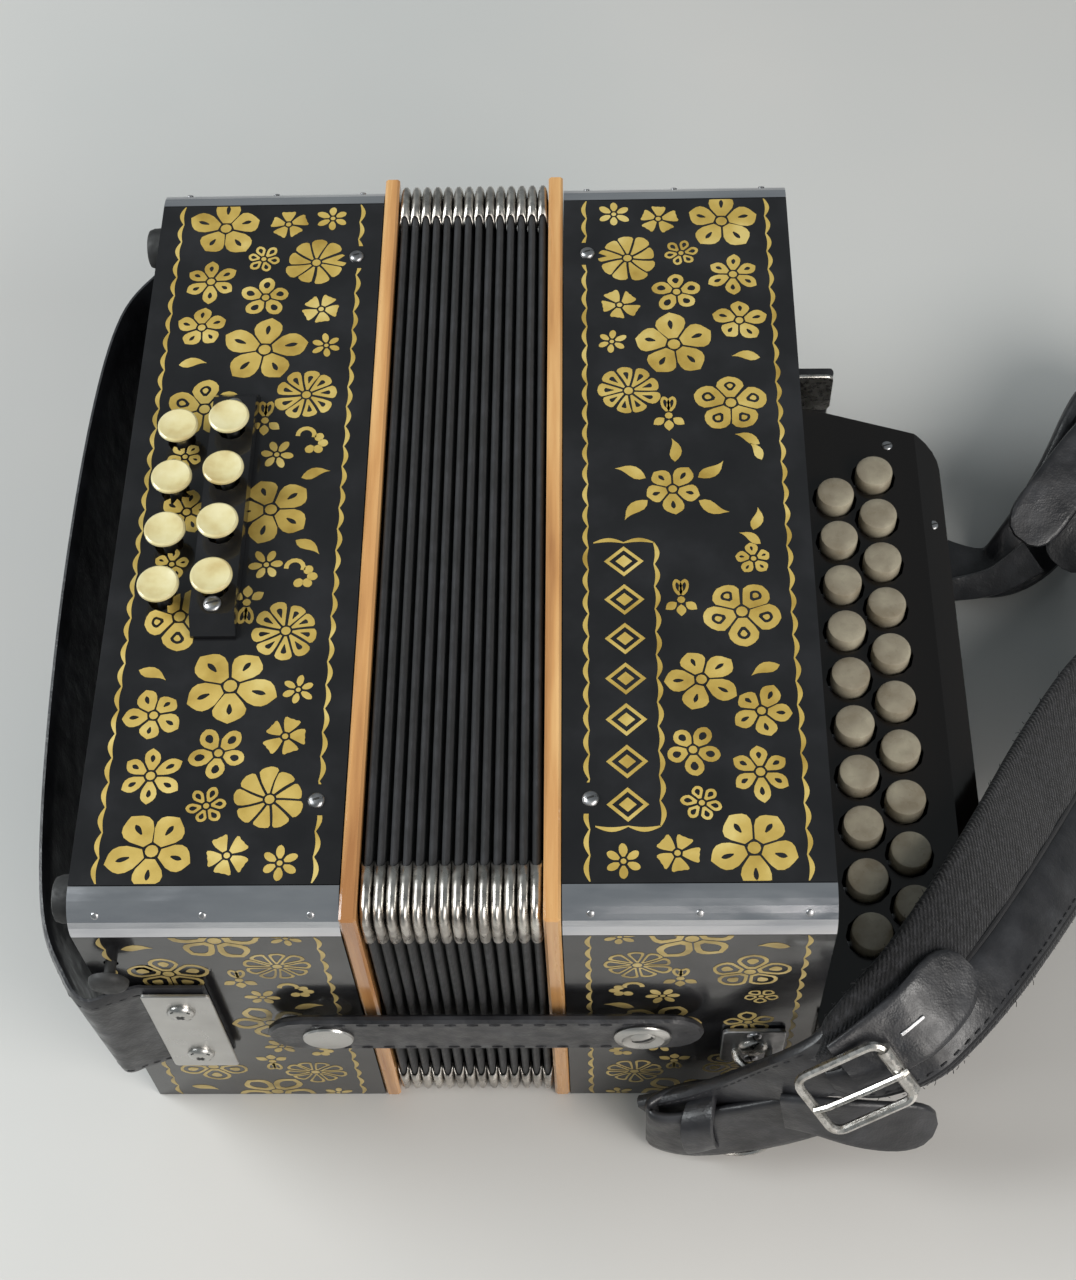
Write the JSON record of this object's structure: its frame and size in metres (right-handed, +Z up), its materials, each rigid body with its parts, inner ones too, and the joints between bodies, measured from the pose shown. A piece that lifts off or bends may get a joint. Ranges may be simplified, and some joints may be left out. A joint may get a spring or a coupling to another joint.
{
  "type": "button accordion",
  "caption": "Diatonic button accordion on its back: two casings joined by folded bellows, key buttons on both sides, hand strap, bellows straps and a padded shoulder strap.",
  "frame": {"origin": "middle of the treble casing's back, the face the instrument lies on", "axes": "+X from the bellows through the treble casing to the fingerboard; +Y to the far end of the casings; +Z up, out of the front covers"},
  "size_m": [0.4356, 0.3291, 0.161],
  "materials": {
    "black_celluloid": "polished black celluloid",
    "fingerboard_lacquer": "black gloss lacquer on wood",
    "chrome": "polished",
    "nickel": "worn nickel plate",
    "frame_wood": "varnished",
    "spruce": "bare",
    "bellows_cloth": "black bellows cloth over card",
    "strap_leather": "black leather",
    "treble_button": "satin, greyish cream",
    "bass_button": "polished, yellowed cream",
    "rubber": "matt",
    "steel": "drawn wire"
  },
  "bodies": {
    "treble": {"treble_case": "black_celluloid", "treble_front_cover": "black_celluloid", "treble_soundboard": "spruce", "treble_reed_block": "spruce", "treble_key_axle": "steel", "fingerboard": "fingerboard_lacquer", "treble_trim_near": "chrome", "treble_trim_far": "chrome", "treble_bellows_frame": "frame_wood", "bellows": "bellows_cloth", "shoulder_strap": "strap_leather", "strap_bracket_near": "nickel", "strap_bracket_far": "nickel", "strap_buckle_near": "nickel"},
    "bass": {"bass_case": "black_celluloid", "bass_front_cover": "black_celluloid", "bass_soundboard": "spruce", "bass_reed_block": "spruce", "bass_key_axle": "steel", "bass_button_rail": "black_celluloid", "bass_trim_near": "chrome", "bass_trim_far": "chrome", "bass_bellows_frame": "frame_wood", "hand_strap": "strap_leather", "hand_strap_plate_near": "nickel", "hand_strap_plate_far": "nickel", "foot_near": "rubber", "foot_far": "rubber"},
    "treble_key_01": {"treble_key_01": "treble_button"},
    "treble_key_02": {"treble_key_02": "treble_button"},
    "treble_key_03": {"treble_key_03": "treble_button"},
    "treble_key_04": {"treble_key_04": "treble_button"},
    "treble_key_05": {"treble_key_05": "treble_button"},
    "treble_key_06": {"treble_key_06": "treble_button"},
    "treble_key_07": {"treble_key_07": "treble_button"},
    "treble_key_08": {"treble_key_08": "treble_button"},
    "treble_key_09": {"treble_key_09": "treble_button"},
    "treble_key_10": {"treble_key_10": "treble_button"},
    "treble_key_11": {"treble_key_11": "treble_button"},
    "treble_key_12": {"treble_key_12": "treble_button"},
    "treble_key_13": {"treble_key_13": "treble_button"},
    "treble_key_14": {"treble_key_14": "treble_button"},
    "treble_key_15": {"treble_key_15": "treble_button"},
    "treble_key_16": {"treble_key_16": "treble_button"},
    "treble_key_17": {"treble_key_17": "treble_button"},
    "treble_key_18": {"treble_key_18": "treble_button"},
    "treble_key_19": {"treble_key_19": "treble_button"},
    "treble_key_20": {"treble_key_20": "treble_button"},
    "treble_key_21": {"treble_key_21": "treble_button"},
    "bass_key_1": {"bass_key_1": "bass_button"},
    "bass_key_2": {"bass_key_2": "bass_button"},
    "bass_key_3": {"bass_key_3": "bass_button"},
    "bass_key_4": {"bass_key_4": "bass_button"},
    "bass_key_5": {"bass_key_5": "bass_button"},
    "bass_key_6": {"bass_key_6": "bass_button"},
    "bass_key_7": {"bass_key_7": "bass_button"},
    "bass_key_8": {"bass_key_8": "bass_button"},
    "air_button": {"air_button": "rubber"},
    "bellows_strap_near": {"bellows_strap_near": "strap_leather"},
    "bellows_strap_far": {"bellows_strap_far": "strap_leather"}
  },
  "joints": [
    {"name": "bellows_slide", "type": "slide", "parent": "treble", "child": "bass", "axis": [-1, 0, 0], "range_m": [0, 0.25], "deforming": ["bellows"]},
    {"name": "treble_key_01_hinge", "type": "hinge", "parent": "treble", "child": "treble_key_01", "pos_m": [0.029, 0.0655, 0.062], "axis": [0, 1, 0], "range_deg": [0, 3.9], "stiffness_Nm_per_rad": 0.12, "springref_deg": -11.46},
    {"name": "treble_key_02_hinge", "type": "hinge", "parent": "treble", "child": "treble_key_02", "pos_m": [0.029, 0.056, 0.062], "axis": [0, 1, 0], "range_deg": [0, 5.9], "stiffness_Nm_per_rad": 0.12, "springref_deg": -11.46},
    {"name": "treble_key_03_hinge", "type": "hinge", "parent": "treble", "child": "treble_key_03", "pos_m": [0.029, 0.0465, 0.062], "axis": [0, 1, 0], "range_deg": [0, 3.9], "stiffness_Nm_per_rad": 0.12, "springref_deg": -11.46},
    {"name": "treble_key_04_hinge", "type": "hinge", "parent": "treble", "child": "treble_key_04", "pos_m": [0.029, 0.037, 0.062], "axis": [0, 1, 0], "range_deg": [0, 5.9], "stiffness_Nm_per_rad": 0.12, "springref_deg": -11.46},
    {"name": "treble_key_05_hinge", "type": "hinge", "parent": "treble", "child": "treble_key_05", "pos_m": [0.029, 0.0275, 0.062], "axis": [0, 1, 0], "range_deg": [0, 3.9], "stiffness_Nm_per_rad": 0.12, "springref_deg": -11.46},
    {"name": "treble_key_06_hinge", "type": "hinge", "parent": "treble", "child": "treble_key_06", "pos_m": [0.029, 0.018, 0.062], "axis": [0, 1, 0], "range_deg": [0, 5.9], "stiffness_Nm_per_rad": 0.12, "springref_deg": -11.46},
    {"name": "treble_key_07_hinge", "type": "hinge", "parent": "treble", "child": "treble_key_07", "pos_m": [0.029, 0.0085, 0.062], "axis": [0, 1, 0], "range_deg": [0, 3.9], "stiffness_Nm_per_rad": 0.12, "springref_deg": -11.46},
    {"name": "treble_key_08_hinge", "type": "hinge", "parent": "treble", "child": "treble_key_08", "pos_m": [0.029, -0.001, 0.062], "axis": [0, 1, 0], "range_deg": [0, 5.9], "stiffness_Nm_per_rad": 0.12, "springref_deg": -11.46},
    {"name": "treble_key_09_hinge", "type": "hinge", "parent": "treble", "child": "treble_key_09", "pos_m": [0.029, -0.0105, 0.062], "axis": [0, 1, 0], "range_deg": [0, 3.9], "stiffness_Nm_per_rad": 0.12, "springref_deg": -11.46},
    {"name": "treble_key_10_hinge", "type": "hinge", "parent": "treble", "child": "treble_key_10", "pos_m": [0.029, -0.02, 0.062], "axis": [0, 1, 0], "range_deg": [0, 5.9], "stiffness_Nm_per_rad": 0.12, "springref_deg": -11.46},
    {"name": "treble_key_11_hinge", "type": "hinge", "parent": "treble", "child": "treble_key_11", "pos_m": [0.029, -0.0295, 0.062], "axis": [0, 1, 0], "range_deg": [0, 3.9], "stiffness_Nm_per_rad": 0.12, "springref_deg": -11.46},
    {"name": "treble_key_12_hinge", "type": "hinge", "parent": "treble", "child": "treble_key_12", "pos_m": [0.029, -0.039, 0.062], "axis": [0, 1, 0], "range_deg": [0, 5.9], "stiffness_Nm_per_rad": 0.12, "springref_deg": -11.46},
    {"name": "treble_key_13_hinge", "type": "hinge", "parent": "treble", "child": "treble_key_13", "pos_m": [0.029, -0.0485, 0.062], "axis": [0, 1, 0], "range_deg": [0, 3.9], "stiffness_Nm_per_rad": 0.12, "springref_deg": -11.46},
    {"name": "treble_key_14_hinge", "type": "hinge", "parent": "treble", "child": "treble_key_14", "pos_m": [0.029, -0.058, 0.062], "axis": [0, 1, 0], "range_deg": [0, 5.9], "stiffness_Nm_per_rad": 0.12, "springref_deg": -11.46},
    {"name": "treble_key_15_hinge", "type": "hinge", "parent": "treble", "child": "treble_key_15", "pos_m": [0.029, -0.0675, 0.062], "axis": [0, 1, 0], "range_deg": [0, 3.9], "stiffness_Nm_per_rad": 0.12, "springref_deg": -11.46},
    {"name": "treble_key_16_hinge", "type": "hinge", "parent": "treble", "child": "treble_key_16", "pos_m": [0.029, -0.077, 0.062], "axis": [0, 1, 0], "range_deg": [0, 5.9], "stiffness_Nm_per_rad": 0.12, "springref_deg": -11.46},
    {"name": "treble_key_17_hinge", "type": "hinge", "parent": "treble", "child": "treble_key_17", "pos_m": [0.029, -0.0865, 0.062], "axis": [0, 1, 0], "range_deg": [0, 3.9], "stiffness_Nm_per_rad": 0.12, "springref_deg": -11.46},
    {"name": "treble_key_18_hinge", "type": "hinge", "parent": "treble", "child": "treble_key_18", "pos_m": [0.029, -0.096, 0.062], "axis": [0, 1, 0], "range_deg": [0, 5.9], "stiffness_Nm_per_rad": 0.12, "springref_deg": -11.46},
    {"name": "treble_key_19_hinge", "type": "hinge", "parent": "treble", "child": "treble_key_19", "pos_m": [0.029, -0.1055, 0.062], "axis": [0, 1, 0], "range_deg": [0, 3.9], "stiffness_Nm_per_rad": 0.12, "springref_deg": -11.46},
    {"name": "treble_key_20_hinge", "type": "hinge", "parent": "treble", "child": "treble_key_20", "pos_m": [0.029, -0.115, 0.062], "axis": [0, 1, 0], "range_deg": [0, 5.9], "stiffness_Nm_per_rad": 0.12, "springref_deg": -11.46},
    {"name": "treble_key_21_hinge", "type": "hinge", "parent": "treble", "child": "treble_key_21", "pos_m": [0.029, -0.1245, 0.062], "axis": [0, 1, 0], "range_deg": [0, 3.9], "stiffness_Nm_per_rad": 0.12, "springref_deg": -11.46},
    {"name": "bass_key_1_hinge", "type": "hinge", "parent": "bass", "child": "bass_key_1", "pos_m": [-0.1227, 0.023, 0.138], "axis": [0, -1, 0], "range_deg": [0, 3.48], "stiffness_Nm_per_rad": 0.12, "springref_deg": -11.46},
    {"name": "bass_key_2_hinge", "type": "hinge", "parent": "bass", "child": "bass_key_2", "pos_m": [-0.1227, 0.0322, 0.138], "axis": [0, -1, 0], "range_deg": [0, 5.99], "stiffness_Nm_per_rad": 0.12, "springref_deg": -11.46},
    {"name": "bass_key_3_hinge", "type": "hinge", "parent": "bass", "child": "bass_key_3", "pos_m": [-0.1227, 0.0026, 0.138], "axis": [0, -1, 0], "range_deg": [0, 3.48], "stiffness_Nm_per_rad": 0.12, "springref_deg": -11.46},
    {"name": "bass_key_4_hinge", "type": "hinge", "parent": "bass", "child": "bass_key_4", "pos_m": [-0.1227, 0.0118, 0.138], "axis": [0, -1, 0], "range_deg": [0, 5.99], "stiffness_Nm_per_rad": 0.12, "springref_deg": -11.46},
    {"name": "bass_key_5_hinge", "type": "hinge", "parent": "bass", "child": "bass_key_5", "pos_m": [-0.1227, -0.0178, 0.138], "axis": [0, -1, 0], "range_deg": [0, 3.48], "stiffness_Nm_per_rad": 0.12, "springref_deg": -11.46},
    {"name": "bass_key_6_hinge", "type": "hinge", "parent": "bass", "child": "bass_key_6", "pos_m": [-0.1227, -0.0086, 0.138], "axis": [0, -1, 0], "range_deg": [0, 5.99], "stiffness_Nm_per_rad": 0.12, "springref_deg": -11.46},
    {"name": "bass_key_7_hinge", "type": "hinge", "parent": "bass", "child": "bass_key_7", "pos_m": [-0.1227, -0.0382, 0.138], "axis": [0, -1, 0], "range_deg": [0, 3.48], "stiffness_Nm_per_rad": 0.12, "springref_deg": -11.46},
    {"name": "bass_key_8_hinge", "type": "hinge", "parent": "bass", "child": "bass_key_8", "pos_m": [-0.1227, -0.029, 0.138], "axis": [0, -1, 0], "range_deg": [0, 5.99], "stiffness_Nm_per_rad": 0.12, "springref_deg": -11.46},
    {"name": "air_button_slide", "type": "slide", "parent": "bass", "child": "air_button", "axis": [0, 1, 0], "range_m": [0, 0.0045], "stiffness_N_per_m": 300, "springref_m": -0.004},
    {"name": "bellows_strap_near_pivot", "type": "hinge", "parent": "treble", "child": "bellows_strap_near", "pos_m": [-0.0155, -0.1425, 0.073], "axis": [0, 1, 0], "range_deg": [0, 90]},
    {"name": "bellows_strap_far_pivot", "type": "hinge", "parent": "treble", "child": "bellows_strap_far", "pos_m": [-0.0155, 0.1425, 0.073], "axis": [0, 1, 0], "range_deg": [0, 90]}
  ]
}
